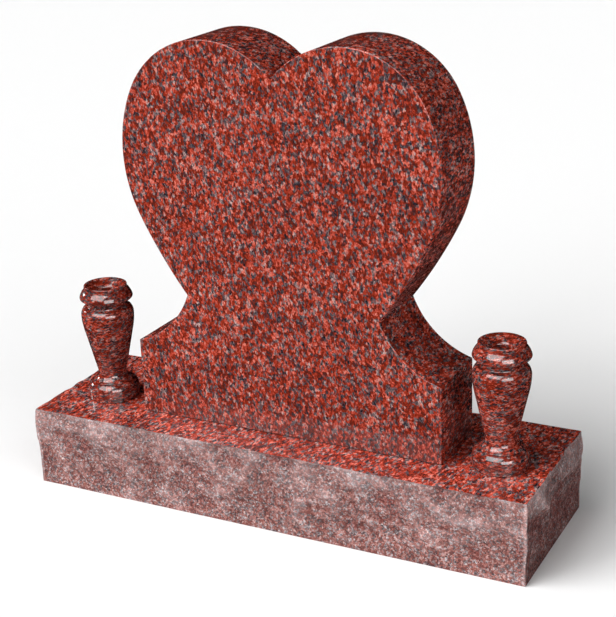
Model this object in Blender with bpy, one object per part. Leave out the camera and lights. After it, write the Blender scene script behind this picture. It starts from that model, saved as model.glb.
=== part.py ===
"""Heart headstone: a polished heart tablet on a rock-pitched base, with two turned flower vases.

Metres, +Z up. The origin is the middle of the base's underside, and the polished front faces -Y.
"""
import math
import random

import bmesh
import bpy

# Joints between stones that stand on each other
STANDING_GAP = 0.0003

# Stone finishes: linear colour and roughness
PITCHED_COLOUR = (0.34, 0.21, 0.19)
PITCHED_ROUGHNESS = 0.75
POLISHED_COLOUR = (0.27, 0.067, 0.052)
POLISHED_ROUGHNESS = 0.10
TURNED_COLOUR = (0.28, 0.075, 0.058)
TURNED_ROUGHNESS = 0.08

# Base block: the polished top is a rectangle, and the pitched sides stand proud of it
BASE_LENGTH = 0.9975
BASE_DEPTH = 0.306
BASE_HEIGHT = 0.155
BASE_ARRIS = 0.003
FACE_PITCH = 0.0045
END_PITCH = 0.0100
CORNER_FADE = 0.070
CORNER_SHARE = 0.30
PITCH_SKEW = 0.62
SCAR_LENGTH = 0.090
SCAR_HEIGHT = 0.040
SCAR_DEPTH = 0.0040
SCAR_SPACING = 0.075
SCAR_PLACE_RANGE = (0.15, 0.85)
SCAR_LEVEL_RANGE = (0.15, 0.95)
SCAR_LENGTH_RANGE = (0.55, 1.25)
SCAR_HEIGHT_RANGE = (0.60, 1.30)
SCAR_DEPTH_RANGE = (0.50, 1.00)
FRONT_SEED = 11
RIGHT_SEED = 23
BACK_SEED = 37
LEFT_SEED = 41
BASE_CELL_LENGTH = 0.030
BASE_CELL_HEIGHT = 0.019
LEAST_CELLS = 3

# Tablet: thickness, foot, flank and lobes; heights are above its own underside
TABLET_OFFSET = 0.0110
TABLET_THICKNESS = 0.150
TABLET_ARRIS = 0.0011
FOOT_WIDTH = 0.6125
SHOULDER_HEIGHT = 0.1457
COVE_DEPTH = 0.0180
WAIST_HEIGHT = 0.2495
LOBE_TOP_HEIGHT = 0.7192
LOBE_TOP_X = 0.1331
CLEFT_DEPTH = 0.0608
LOBE_RADIUS = 0.1665
SIDE_RADIUS = 0.2655
FLANK_RADIUS = 0.9055
LOBE_SWEEP = math.radians(64.2)
SIDE_SWEEP = math.radians(52.7)
OUTLINE_STEP = 0.016
LEAST_STEPS = 3

# Vases: their axes' distance from the base's ends, the pair's shift to the right and forwards, and the
# turned profile from the foot up; heights are above the vase's underside
VASE_END_MARGIN = 0.09595
VASE_SHIFT = 0.0077
VASE_FORWARD = 0.0320
VASE_HEIGHT = 0.2310
VASE_FACETS = 32
FOOT_RADIUS = 0.0500
FOOT_CHAMFER = 0.0010
FOOT_EDGE_HEIGHT = 0.0225
FOOT_ROUND_HEIGHT = 0.0120
FOOT_ROUND_INSET = 0.0080
FOOT_BULGE = 0.50
RING_RADIUS = 0.0380
RING_THICKNESS = 0.0025
FLARE_PULL = 0.35
STEM_RADIUS = 0.0275
STEM_HEIGHT = 0.0540
BELLY_RADIUS = 0.0508
BELLY_ARC_HEIGHT = 0.0290
BELLY_ROUND_HEIGHT = 0.0112
BELLY_ROUND_REACH = 0.0160
SHOULDER_INSET = 0.0026
SHOULDER_DROP = 0.0071
SHOULDER_SWEEP = math.radians(72)
NECK_RADIUS = 0.0388
GROOVE_DEPTH = 0.0018
GROOVE_HEIGHT = 0.0116
BEAD_RADIUS = 0.0511
BEAD_DROP = 0.0240
BEAD_UNDER_HEIGHT = 0.0074
BEAD_BULGE = 0.50
COLLAR_RADIUS = 0.0416
COLLAR_DEPTH = 0.0080
LIP_ROUND = 0.0018
LIP_EASE = 0.0014
THROAT_DEPTH = 0.0135
THROAT_EASE = 0.0040
BORE_RADIUS = 0.0205
BORE_DEPTH = 0.122
BORE_FILLET = 0.006

# Points along the vases' curves
FILLET_STEPS = 3
THROAT_STEPS = 3
LIP_STEPS = 3
SWELL_STEPS = 4
BEAD_STEPS = 4
GROOVE_STEPS = 4
SHOULDER_STEPS = 3
BELLY_ROUND_STEPS = 2
BELLY_STEPS = 3
FLARE_STEPS = 4
RING_STEPS = 2
SHARP_ANGLE = math.radians(30)
MERGE_DISTANCE = 0.00005


def clear_scene():
    for obj in list(bpy.data.objects):
        bpy.data.objects.remove(obj, do_unlink=True)


def stone_material(name, colour, roughness):
    material = bpy.data.materials.new(name)
    material.use_nodes = True
    shader = material.node_tree.nodes["Principled BSDF"]
    shader.inputs["Base Color"].default_value = (*colour, 1.0)
    shader.inputs["Roughness"].default_value = roughness
    shader.inputs["Metallic"].default_value = 0.0
    return material


def add_object(name, mesh, location):
    obj = bpy.data.objects.new(name, mesh)
    obj.location = location
    bpy.context.scene.collection.objects.link(obj)
    return obj


def mesh_from(name, bm, material):
    mesh = bpy.data.meshes.new(name)
    bmesh.ops.recalc_face_normals(bm, faces=bm.faces)
    bm.to_mesh(mesh)
    bm.free()
    mesh.materials.append(material)
    return mesh


def arc_points(centre, radius_x, radius_z, start, end, count):
    """Points on an ellipse's arc, first one left out; angles run from straight up towards +X."""
    points = []
    for step in range(1, count + 1):
        angle = start + (end - start) * step / count
        points.append((centre[0] + radius_x * math.sin(angle), centre[1] + radius_z * math.cos(angle)))
    return points


def bend_points(start, corner, end, count):
    """A curve that starts towards the corner and ends coming from it, first point left out."""
    points = []
    for step in range(1, count + 1):
        t = step / count
        weights = ((1 - t) ** 2, 2 * t * (1 - t), t * t)
        corners = (start, corner, end)
        points.append(tuple(sum(w * place[axis] for w, place in zip(weights, corners)) for axis in (0, 1)))
    return points


def swell_points(top, low, bulge, count):
    """From a narrow top out to a wide low place: the chord pushed out by a share of a quarter oval."""
    points = []
    for step in range(1, count + 1):
        angle = math.pi / 2 * step / count
        out, down = math.sin(angle), 1 - math.cos(angle)
        along = (out + down) / 2
        out, down = along + bulge * (out - along), along + bulge * (down - along)
        points.append((top[0] + (low[0] - top[0]) * out, top[1] + (low[1] - top[1]) * down))
    return points


# Base

def pitch_scars(seed, length):
    """Shallow bowls that the pitching chisel left on one side: centre, half sizes and depth of each."""
    chance = random.Random(seed)
    count = max(2, round(length / SCAR_SPACING))
    scars = []
    for index in range(count):
        along = (index + chance.uniform(*SCAR_PLACE_RANGE)) * length / count
        height = BASE_HEIGHT * chance.uniform(*SCAR_LEVEL_RANGE)
        half_length = SCAR_LENGTH * chance.uniform(*SCAR_LENGTH_RANGE)
        half_height = SCAR_HEIGHT * chance.uniform(*SCAR_HEIGHT_RANGE)
        depth = SCAR_DEPTH * chance.uniform(*SCAR_DEPTH_RANGE)
        scars.append((along, height, half_length, half_height, depth))
    return scars


def pitch_relief(along, height, proud, scars):
    """How far a pitched side stands out: a skewed arch from top to foot, less the deepest bowl."""
    below_top = min(1.0, max(0.0, 1.0 - height / BASE_HEIGHT))
    arch = math.sin(math.pi * below_top ** PITCH_SKEW)
    bowl = 0.0
    for centre, level, half_length, half_height, depth in scars:
        inside = 1.0 - ((along - centre) / half_length) ** 2 - ((height - level) / half_height) ** 2
        bowl = max(bowl, depth * inside)
    return max(0.0, proud * arch - bowl * math.sqrt(max(0.0, arch)))


def base_sides():
    """The four sides, counter-clockwise from the front: start corner, direction, outward normal, length,
    how far the side stands proud, and its seed."""
    half_length = BASE_LENGTH / 2
    half_depth = BASE_DEPTH / 2
    front = ((-half_length, -half_depth), (1, 0), (0, -1), BASE_LENGTH, FACE_PITCH, FRONT_SEED)
    right = ((half_length, -half_depth), (0, 1), (1, 0), BASE_DEPTH, END_PITCH, RIGHT_SEED)
    back = ((half_length, half_depth), (-1, 0), (0, 1), BASE_LENGTH, FACE_PITCH, BACK_SEED)
    left = ((-half_length, half_depth), (0, -1), (-1, 0), BASE_DEPTH, END_PITCH, LEFT_SEED)
    return [front, right, back, left]


def ring_points(height):
    """One level of the base: every side's points pushed outwards, with the corners shared by two sides."""
    sides = base_sides()
    scars = [pitch_scars(side[5], side[3]) for side in sides]
    points = []
    for index, (start, direction, normal, length, proud, _) in enumerate(sides):
        before = sides[index - 1]
        after = sides[(index + 1) % 4]
        pull_start = CORNER_SHARE * pitch_relief(before[3], height, before[4], scars[index - 1])
        pull_end = CORNER_SHARE * pitch_relief(0.0, height, after[4], scars[(index + 1) % 4])
        cells = max(LEAST_CELLS, round(length / BASE_CELL_LENGTH))
        for cell in range(cells):
            along = length * cell / cells
            edge = min(along, length - along) / CORNER_FADE
            share = CORNER_SHARE + (1.0 - CORNER_SHARE) * min(1.0, edge)
            out = share * pitch_relief(along, height, proud, scars[index])
            slide = pull_end * max(0.0, 1.0 - (length - along) / CORNER_FADE)
            slide -= pull_start * max(0.0, 1.0 - along / CORNER_FADE)
            x = start[0] + direction[0] * (along + slide) + normal[0] * out
            y = start[1] + direction[1] * (along + slide) + normal[1] * out
            points.append((x, y, height))
    return points


def make_base():
    """A stack of levels, closed by the polished top and the sawn underside."""
    bm = bmesh.new()
    arris_height = BASE_HEIGHT - BASE_ARRIS
    rows = max(LEAST_CELLS, round(arris_height / BASE_CELL_HEIGHT))
    levels = [arris_height * row / rows for row in range(rows + 1)] + [BASE_HEIGHT]
    rings = [[bm.verts.new(point) for point in ring_points(level)] for level in levels]
    for lower, upper in zip(rings, rings[1:]):
        for index in range(len(lower)):
            after = (index + 1) % len(lower)
            bm.faces.new((lower[index], lower[after], upper[after], upper[index]))
    bm.faces.new(rings[-1])
    bm.faces.new(list(reversed(rings[0])))
    stone = stone_material("base_granite", PITCHED_COLOUR, PITCHED_ROUGHNESS)
    add_object("base", mesh_from("base", bm, stone), (0, 0, 0))


# Tablet

def steps_for(length):
    return max(LEAST_STEPS, round(length / OUTLINE_STEP))


def foot_cove(waist_x):
    """The hollow curve from the flank's end out to the foot's shoulder, from its chord and its depth."""
    foot_x = FOOT_WIDTH / 2
    chord = math.hypot(foot_x - waist_x, WAIST_HEIGHT - SHOULDER_HEIGHT)
    radius = (chord ** 2 / 4 + COVE_DEPTH ** 2) / (2 * COVE_DEPTH)
    middle = ((waist_x + foot_x) / 2, (WAIST_HEIGHT + SHOULDER_HEIGHT) / 2)
    outward = ((WAIST_HEIGHT - SHOULDER_HEIGHT) / chord, (foot_x - waist_x) / chord)
    reach = radius - COVE_DEPTH
    centre = (middle[0] + outward[0] * reach, middle[1] + outward[1] * reach)
    start = math.atan2(waist_x - centre[0], WAIST_HEIGHT - centre[1])
    end = math.atan2(foot_x - centre[0], SHOULDER_HEIGHT - centre[1])
    if end > start:
        end -= 2 * math.pi
    return arc_points(centre, radius, radius, start, end, steps_for(radius * (start - end)))


def half_outline():
    """Right half of the outline, from the cleft over the lobe and down to the foot, as tangent arcs."""
    inner_radius = (LOBE_TOP_X ** 2 + CLEFT_DEPTH ** 2) / (2 * CLEFT_DEPTH)
    inner_centre = (LOBE_TOP_X, LOBE_TOP_HEIGHT - inner_radius)
    inner_sweep = math.asin(LOBE_TOP_X / inner_radius)
    points = [(0.0, LOBE_TOP_HEIGHT - CLEFT_DEPTH)]
    points += arc_points(inner_centre, inner_radius, inner_radius, -inner_sweep, 0.0,
                         steps_for(inner_radius * inner_sweep))

    lobe_centre = (LOBE_TOP_X, LOBE_TOP_HEIGHT - LOBE_RADIUS)
    points += arc_points(lobe_centre, LOBE_RADIUS, LOBE_RADIUS, 0.0, LOBE_SWEEP,
                         steps_for(LOBE_RADIUS * LOBE_SWEEP))

    side_shift = LOBE_RADIUS - SIDE_RADIUS
    side_centre = (lobe_centre[0] + side_shift * math.sin(LOBE_SWEEP),
                   lobe_centre[1] + side_shift * math.cos(LOBE_SWEEP))
    side_end = LOBE_SWEEP + SIDE_SWEEP
    points += arc_points(side_centre, SIDE_RADIUS, SIDE_RADIUS, LOBE_SWEEP, side_end,
                         steps_for(SIDE_RADIUS * SIDE_SWEEP))

    flank_shift = SIDE_RADIUS - FLANK_RADIUS
    flank_centre = (side_centre[0] + flank_shift * math.sin(side_end),
                    side_centre[1] + flank_shift * math.cos(side_end))
    flank_end = math.acos((WAIST_HEIGHT - flank_centre[1]) / FLANK_RADIUS)
    points += arc_points(flank_centre, FLANK_RADIUS, FLANK_RADIUS, side_end, flank_end,
                         steps_for(FLANK_RADIUS * (flank_end - side_end)))

    points += foot_cove(points[-1][0])
    points.append((FOOT_WIDTH / 2, 0.0))
    return points


def make_tablet():
    """The outline pushed through the slab's thickness, with an arris around the front and the back."""
    right = half_outline()
    left = [(-x, z) for x, z in reversed(right[1:])]
    bm = bmesh.new()
    front_y = -TABLET_THICKNESS / 2
    front = bm.faces.new([bm.verts.new((x, front_y, z)) for x, z in right + left])
    pushed = bmesh.ops.extrude_face_region(bm, geom=[front])
    moved = [item for item in pushed["geom"] if isinstance(item, bmesh.types.BMVert)]
    bmesh.ops.translate(bm, verts=moved, vec=(0, TABLET_THICKNESS, 0))
    bmesh.ops.recalc_face_normals(bm, faces=bm.faces)
    faces = [face for face in bm.faces if len(face.verts) > 4]
    edges = {edge for face in faces for edge in face.edges}
    bmesh.ops.bevel(bm, geom=list(edges), offset=TABLET_ARRIS, segments=1, affect="EDGES",
                    clamp_overlap=True)
    stone = stone_material("tablet_granite", POLISHED_COLOUR, POLISHED_ROUGHNESS)
    mesh = mesh_from("tablet", bm, stone)
    add_object("tablet", mesh, (TABLET_OFFSET, 0, BASE_HEIGHT + STANDING_GAP))


# Vases

def bore_profile():
    """Inside of the vase: the bore's floor and wall, then the funnel up to the lip's crest."""
    floor = VASE_HEIGHT - BORE_DEPTH
    points = [(0.0, floor), (BORE_RADIUS - BORE_FILLET, floor)]
    fillet_centre = (BORE_RADIUS - BORE_FILLET, floor + BORE_FILLET)
    points += arc_points(fillet_centre, BORE_FILLET, BORE_FILLET, math.pi, math.pi / 2, FILLET_STEPS)
    crest = COLLAR_RADIUS - LIP_ROUND
    throat = (BORE_RADIUS, VASE_HEIGHT - THROAT_DEPTH)
    mouth = (crest - LIP_EASE, VASE_HEIGHT)
    slope = math.hypot(mouth[0] - throat[0], THROAT_DEPTH)
    run, rise = (mouth[0] - throat[0]) / slope, THROAT_DEPTH / slope
    wall_end = (BORE_RADIUS, throat[1] - THROAT_EASE)
    funnel_start = (throat[0] + run * THROAT_EASE, throat[1] + rise * THROAT_EASE)
    funnel_end = (mouth[0] - run * LIP_EASE, mouth[1] - rise * LIP_EASE)
    points.append(wall_end)
    points += bend_points(wall_end, throat, funnel_start, THROAT_STEPS)
    points.append(funnel_end)
    points += bend_points(funnel_end, mouth, (crest, VASE_HEIGHT), LIP_STEPS)
    return points


def lip_and_bead_profile():
    """Rounded lip, short collar, and the bead that swells below it and turns in to the neck."""
    crest = COLLAR_RADIUS - LIP_ROUND
    points = arc_points((crest, VASE_HEIGHT - LIP_ROUND), LIP_ROUND, LIP_ROUND, 0.0, math.pi / 2, LIP_STEPS)
    collar_foot = (COLLAR_RADIUS, VASE_HEIGHT - COLLAR_DEPTH)
    bead = (BEAD_RADIUS, VASE_HEIGHT - BEAD_DROP)
    points.append(collar_foot)
    points += swell_points(collar_foot, bead, BEAD_BULGE, SWELL_STEPS)
    points += arc_points((NECK_RADIUS, bead[1]), BEAD_RADIUS - NECK_RADIUS, BEAD_UNDER_HEIGHT,
                         math.pi / 2, math.pi, BEAD_STEPS)
    return points


def body_profile():
    """Groove, shoulder, belly and the long taper down to the stem."""
    bead_foot = VASE_HEIGHT - BEAD_DROP - BEAD_UNDER_HEIGHT
    points = arc_points((NECK_RADIUS, bead_foot - GROOVE_HEIGHT / 2), GROOVE_DEPTH, GROOVE_HEIGHT / 2,
                        0.0, -math.pi, GROOVE_STEPS)
    shoulder_foot = bead_foot - GROOVE_HEIGHT - SHOULDER_DROP
    points += arc_points((NECK_RADIUS, shoulder_foot), BELLY_RADIUS - SHOULDER_INSET - NECK_RADIUS,
                         SHOULDER_DROP, 0.0, SHOULDER_SWEEP, SHOULDER_STEPS)
    edge = points[-1]
    belly_height = edge[1] - BELLY_ROUND_HEIGHT
    start = math.asin(1 - (BELLY_RADIUS - edge[0]) / BELLY_ROUND_REACH)
    points += arc_points((BELLY_RADIUS - BELLY_ROUND_REACH, belly_height), BELLY_ROUND_REACH,
                         BELLY_ROUND_HEIGHT / math.cos(start), start, math.pi / 2, BELLY_ROUND_STEPS)
    taper_drop = belly_height - BELLY_ARC_HEIGHT - STEM_HEIGHT
    taper = (BELLY_RADIUS - STEM_RADIUS) / (taper_drop + BELLY_ARC_HEIGHT / 2)
    arc_inset = taper * BELLY_ARC_HEIGHT / 2
    for step in range(1, BELLY_STEPS + 1):
        drop = step / BELLY_STEPS
        points.append((BELLY_RADIUS - arc_inset * drop ** 2, belly_height - BELLY_ARC_HEIGHT * drop))
    points.append((STEM_RADIUS, STEM_HEIGHT))
    return points


def foot_profile():
    """Flare, ring, bulged slope and straight edge of the foot, down to the middle of the underside."""
    ring_foot = FOOT_EDGE_HEIGHT + FOOT_ROUND_HEIGHT
    ring_top = ring_foot + RING_THICKNESS
    corner = (STEM_RADIUS, ring_top + (STEM_HEIGHT - ring_top) * FLARE_PULL)
    points = bend_points((STEM_RADIUS, STEM_HEIGHT), corner, (RING_RADIUS, ring_top), FLARE_STEPS)
    half_ring = RING_THICKNESS / 2
    points += arc_points((RING_RADIUS, ring_foot + half_ring), half_ring, half_ring,
                         0.0, math.pi, RING_STEPS)
    slope_top = (FOOT_RADIUS - FOOT_ROUND_INSET, ring_foot)
    points.append(slope_top)
    points += swell_points(slope_top, (FOOT_RADIUS, FOOT_EDGE_HEIGHT), FOOT_BULGE, SWELL_STEPS)
    points.append((FOOT_RADIUS, FOOT_CHAMFER))
    points.append((FOOT_RADIUS - FOOT_CHAMFER, 0.0))
    points.append((0.0, 0.0))
    return points


def make_vases():
    """One turned mesh, standing on the base on both sides of the tablet."""
    profile = bore_profile() + lip_and_bead_profile() + body_profile() + foot_profile()
    bm = bmesh.new()
    ring = [bm.verts.new((radius, 0.0, height)) for radius, height in profile]
    for start, end in zip(ring, ring[1:]):
        bm.edges.new((start, end))
    bmesh.ops.spin(bm, geom=bm.verts[:] + bm.edges[:], cent=(0, 0, 0), axis=(0, 0, 1), dvec=(0, 0, 0),
                   angle=2 * math.pi, steps=VASE_FACETS, use_merge=True)
    bmesh.ops.remove_doubles(bm, verts=bm.verts, dist=MERGE_DISTANCE)
    stone = stone_material("vase_granite", TURNED_COLOUR, TURNED_ROUGHNESS)
    mesh = mesh_from("vase", bm, stone)
    mesh.shade_smooth()
    mesh.set_sharp_from_angle(angle=SHARP_ANGLE)
    reach = BASE_LENGTH / 2 - VASE_END_MARGIN
    for name, side in (("vase_left", -1), ("vase_right", 1)):
        place = (VASE_SHIFT + side * reach, -VASE_FORWARD, BASE_HEIGHT + STANDING_GAP)
        add_object(name, mesh, place)


def main():
    clear_scene()
    make_base()
    make_tablet()
    make_vases()


main()
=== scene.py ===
"""Heart headstone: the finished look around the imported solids.

A polished red granite heart stands on a rock-pitched base with two turned flower vases. Every piece is a
surface worked out in metres in the part's own frame: +X to the right of the polished front, +Y to the back.
"""
import math
import random

import bpy
import numpy as np
from mathutils import Matrix, Vector


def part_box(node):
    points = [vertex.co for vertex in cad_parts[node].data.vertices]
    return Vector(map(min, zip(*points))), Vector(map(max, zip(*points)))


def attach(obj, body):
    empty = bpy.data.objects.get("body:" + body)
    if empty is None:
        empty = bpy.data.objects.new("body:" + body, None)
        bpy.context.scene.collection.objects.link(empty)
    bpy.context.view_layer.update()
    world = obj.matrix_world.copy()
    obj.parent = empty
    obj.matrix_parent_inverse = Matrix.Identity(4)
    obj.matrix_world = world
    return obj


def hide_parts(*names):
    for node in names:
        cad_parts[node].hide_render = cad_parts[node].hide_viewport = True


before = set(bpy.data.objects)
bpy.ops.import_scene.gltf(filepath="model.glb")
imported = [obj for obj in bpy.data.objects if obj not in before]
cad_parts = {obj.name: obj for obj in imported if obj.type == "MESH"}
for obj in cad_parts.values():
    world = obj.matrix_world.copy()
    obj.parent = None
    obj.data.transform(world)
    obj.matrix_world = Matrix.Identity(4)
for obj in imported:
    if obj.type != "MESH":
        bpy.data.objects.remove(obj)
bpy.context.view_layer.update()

bl_info = {
    "name": "Heart headstone",
    "version": (1, 0, 0),
    "blender": (4, 5, 0),
    "location": "3D View > Sidebar > Headstone",
    "description": "Builds a polished heart tablet, its pitched base and two flower vases",
    "category": "Add Mesh",
}

BODY = "root"

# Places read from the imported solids
BASE_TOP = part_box("base")[1].z
TABLET_LOW, TABLET_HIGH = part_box("tablet")
VASE_BOXES = {name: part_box(name) for name in ("vase_left", "vase_right")}


# Noise on arrays

COLUMN_FACTOR, ROW_FACTOR = 374761393, 668265263
SEED_FACTOR = 1274126177
MIX_MASK = 0x7FFFFFFF
MIX_STEPS = ((13, SEED_FACTOR), (15, ROW_FACTOR))
LAST_SHIFT = 16
FAR_OFF = 9.0
CENTRE_OFFSET = 0.5


def lattice_numbers(column, row, seed):
    """Numbers from 0 to 1 on whole-number points, mixed by shifts from the column, the row and the seed."""
    mixed = (seed * SEED_FACTOR + column * COLUMN_FACTOR + row * ROW_FACTOR) & MIX_MASK
    for shift, factor in MIX_STEPS:
        mixed = ((mixed ^ (mixed >> shift)) * factor) & MIX_MASK
    return (mixed ^ (mixed >> LAST_SHIFT)) / MIX_MASK


def smooth_noise(u, v, cell, seed):
    """Noise from -1 to 1: random lattice values blended along u and v with the weight 3t^2 - 2t^3."""
    a, b = u / cell, v / cell
    ia, ib = np.floor(a).astype(np.int64), np.floor(b).astype(np.int64)
    ta, tb = a - ia, b - ib
    ta, tb = ta * ta * (3 - 2 * ta), tb * tb * (3 - 2 * tb)
    corner = [[lattice_numbers(ia + i, ib + j, seed) for j in (0, 1)] for i in (0, 1)]
    low = corner[0][0] * (1 - tb) + corner[0][1] * tb
    high = corner[1][0] * (1 - tb) + corner[1][1] * tb
    return 2 * (low * (1 - ta) + high * ta) - 1


def chisel_scallops(u, v, cell, seed):
    """Shallow bowls that meet in ridges: the least of distance squared plus a random offset."""
    a, b = u / cell[0], v / cell[1]
    ia, ib = np.floor(a).astype(np.int64), np.floor(b).astype(np.int64)
    least = np.full(np.shape(a), FAR_OFF)
    for i in (-1, 0, 1):
        for j in (-1, 0, 1):
            ca, cb = ia + i, ib + j
            da = a - ca - lattice_numbers(ca, cb, seed)
            db = b - cb - lattice_numbers(ca, cb, seed + 1)
            offset = CENTRE_OFFSET * lattice_numbers(ca, cb, seed + 2)
            least = np.minimum(least, da * da + db * db + offset)
    return least


# Meshes

# How far above a stone's underside faces still take the dark joint and painted contact shade
JOINT_SHADE_REACH = 0.0001
SHARP_BASE, SHARP_TABLET, SHARP_VASE = math.radians(40), math.radians(24), math.radians(38)


def mesh_object(name, points, faces, material_names, face_materials, sharp_angle):
    """An object at the origin from points and outward faces, smooth but for edges past the sharp angle."""
    mesh = bpy.data.meshes.new(name)
    mesh.from_pydata(points.tolist(), [], faces)
    for material in material_names:
        mesh.materials.append(bpy.data.materials[material])
    mesh.polygons.foreach_set("material_index", face_materials)
    mesh.update()
    mesh.shade_smooth()
    mesh.set_sharp_from_angle(angle=sharp_angle)
    made = bpy.data.objects.new(name, mesh)
    bpy.context.scene.collection.objects.link(made)
    return made


def ring_quads(rings, count):
    """Faces between closed rings of points that lie one after another."""
    ring = np.arange(rings - 1)[:, None] * count
    here = np.arange(count)
    after = (here + 1) % count
    corners = [ring + here, ring + after, ring + count + after, ring + count + here]
    return np.stack(corners, -1).reshape(-1, 4)


def joint_shade_kinds(points, quads, below, joint, other):
    """The number of the dark joint and painted contact shade for faces that lie wholly below this height, and
    another for the rest.
    """
    return np.where((points[quads, 2] < below).all(1), joint, other).tolist()


def join_body(piece, slot, *nodes):
    """Ties a finished piece to the body and hides the solids that it stands for; the slot is not used."""
    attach(piece, BODY)
    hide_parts(*nodes)


# Granite

# From the darkest crystals to the palest: the tones' places, the red colours and the muted colours
POLISHED_TONES = (
    (0.12, 0.32, 0.50, 0.64, 0.78, 0.94),
    ((0.075, 0.016, 0.012), (0.160, 0.017, 0.008), (0.280, 0.024, 0.010), (0.430, 0.045, 0.022),
     (0.620, 0.098, 0.062), (0.760, 0.240, 0.180)),
    ((0.018, 0.016, 0.022), (0.052, 0.042, 0.050), (0.110, 0.084, 0.092), (0.190, 0.135, 0.135),
     (0.330, 0.205, 0.195), (0.560, 0.380, 0.350)))
BROKEN_TONES = (
    (0.12, 0.35, 0.55, 0.75, 0.94),
    ((0.110, 0.034, 0.030), (0.230, 0.058, 0.044), (0.350, 0.110, 0.088), (0.480, 0.220, 0.195),
     (0.640, 0.430, 0.400)),
    ((0.050, 0.036, 0.042), (0.135, 0.098, 0.104), (0.255, 0.205, 0.212), (0.430, 0.375, 0.390),
     (0.680, 0.640, 0.660)))
GRAIN_LEAN = math.radians(-10)
# Sizes are shares of a large crystal, and parts are shares of the number that picks the tone
CRYSTALS = {
    "bend": 0.8, "small": 0.5, "glint": 0.28, "drift": 4.0, "large_part": 0.58, "small_part": 0.42,
    "muted": 0.85, "muted_drift": 5.0, "muted_part": 0.75, "muted_drift_part": 0.50, "muted_from": 0.685,
    "muted_full": 0.82,
}
MUTED_SHIFT = (3.7, 1.9, 5.3)
CLOUD_SIZE = 0.09
FLECKS = {"spacing": 0.030, "chosen_above": 0.88, "reach": 0.065, "amount": 0.75}
ROUGH_DETAIL, STRIP_DETAIL, BRUISE_DETAIL, PATCH_DETAIL = 2.0, 3.0, 4.0, 5.0
POLISH_BY_TONE, POLISH_LOSS = -0.04, 0.03
TOP_DULLNESS = 0.04
# The pitched sides: dust under the top edge, dust and painted light on ridges, red hollows with painted
# shade, and fine bruises
WEAR_SHADE_ATTRIBUTE = "wear_and_shade"
STRIP = {"ragged_size": 0.012, "height": 0.009, "start": -0.0015}
DUST = {"at_top": 0.40, "towards_foot": -0.50, "dust_and_light_on_ridges": 0.60, "in_strip": 0.45, "patches": 0.70,
        "patch_size": 0.030, "most": 0.38}
# Hollows tinted redder and painted darker: painted shade in the bowls
HOLLOW_TINT_AND_SHADE = {"by_wear": -1.6, "start": -0.35, "tint": (1.16, 0.76, 0.74, 1.0)}
# Ridges painted lighter and bowls darker: painted light and shade following the relief
RIDGE_LIGHT_AND_BOWL_SHADE = 0.45
BRUISES = {"size": 0.0030, "strength": 0.75, "depth": 0.0016}
BROKEN_ROUGHNESS, BROKEN_SPECULAR = 0.80, 0.30
JOINT_ROUGHNESS, JOINT_SPECULAR = 0.70, 0.10


def node(tree, kind, inputs, **settings):
    """A shader node; each input takes a value or another node's socket."""
    made = tree.nodes.new(kind)
    for key, value in settings.items():
        setattr(made, key, value)
    for key, value in inputs.items():
        if isinstance(value, bpy.types.NodeSocket):
            tree.links.new(value, made.inputs[key])
        else:
            made.inputs[key].default_value = value
    return made


def maths(tree, operation, *values, clamp=False):
    """The result of one sum on numbers."""
    inputs = dict(enumerate(values))
    return node(tree, "ShaderNodeMath", inputs, operation=operation, use_clamp=clamp).outputs[0]


def vector_maths(tree, operation, inputs):
    """The result of one sum on vectors or colours."""
    return node(tree, "ShaderNodeVectorMath", inputs, operation=operation).outputs[0]


def blend_colours(tree, amount, first, second, kind="MIX"):
    """The first colour turned into the second, or into their product, by this amount."""
    made = node(tree, "ShaderNodeMix", {0: amount, 6: first, 7: second}, data_type="RGBA", blend_type=kind,
                clamp_factor=True)
    return made.outputs[2]


def ramp(tree, value, places, colours):
    """The colour for a number, read between these colours at these places."""
    made = node(tree, "ShaderNodeValToRGB", {"Fac": value})
    elements = made.color_ramp.elements
    elements.remove(elements[-1])
    elements[0].position, elements[0].color = places[0], (*colours[0], 1.0)
    for place, colour in zip(places[1:], colours[1:]):
        elements.new(place).color = (*colour, 1.0)
    return made.outputs["Color"]


def object_place(tree):
    """Every point's place in the part's own frame."""
    return node(tree, "ShaderNodeTexCoord", {}).outputs["Object"]


def stone_place(tree, stretch, reach):
    """Places leant over a little, divided by how much the crystals are drawn out, and bent by noise of this
    size and reach."""
    mapping = {"Vector": object_place(tree), "Rotation": (0.0, GRAIN_LEAN, 0.0), "Scale": stretch}
    place = node(tree, "ShaderNodeMapping", mapping, vector_type="TEXTURE").outputs["Vector"]
    noise = node(tree, "ShaderNodeTexNoise", {"Vector": place, "Scale": 1.0 / reach, "Detail": ROUGH_DETAIL})
    centred = vector_maths(tree, "SUBTRACT", {0: noise.outputs["Color"], 1: (0.5, 0.5, 0.5)})
    shift = vector_maths(tree, "SCALE", {0: centred, "Scale": reach})
    return vector_maths(tree, "ADD", {0: place, 1: shift})


def grain_number(tree, place, size):
    """A random number for each crystal of about this size."""
    cells = node(tree, "ShaderNodeTexVoronoi", {"Vector": place, "Scale": 1.0 / size})
    return node(tree, "ShaderNodeSeparateColor", {0: cells.outputs["Color"]}).outputs[0]


def broad_noise(tree, place, size, detail=ROUGH_DETAIL):
    """Cloudy noise about a half, with patches of this size."""
    inputs = {"Vector": place, "Scale": 1.0 / size, "Detail": detail}
    return node(tree, "ShaderNodeTexNoise", inputs).outputs["Fac"]


def muted_amount(tree, place, grain):
    """How far each crystal is muted stone: its own number and drifting noise, read away from the red ones."""
    c = CRYSTALS
    apart = vector_maths(tree, "ADD", {0: place, 1: MUTED_SHIFT})
    drift = maths(tree, "MULTIPLY", broad_noise(tree, apart, grain * c["muted_drift"]), c["muted_drift_part"])
    own = grain_number(tree, apart, grain * c["muted"])
    chance = maths(tree, "MULTIPLY_ADD", own, c["muted_part"], drift)
    limits = {0: chance, 1: c["muted_from"], 2: c["muted_full"]}
    return node(tree, "ShaderNodeMapRange", limits, clamp=True).outputs[0]


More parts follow.
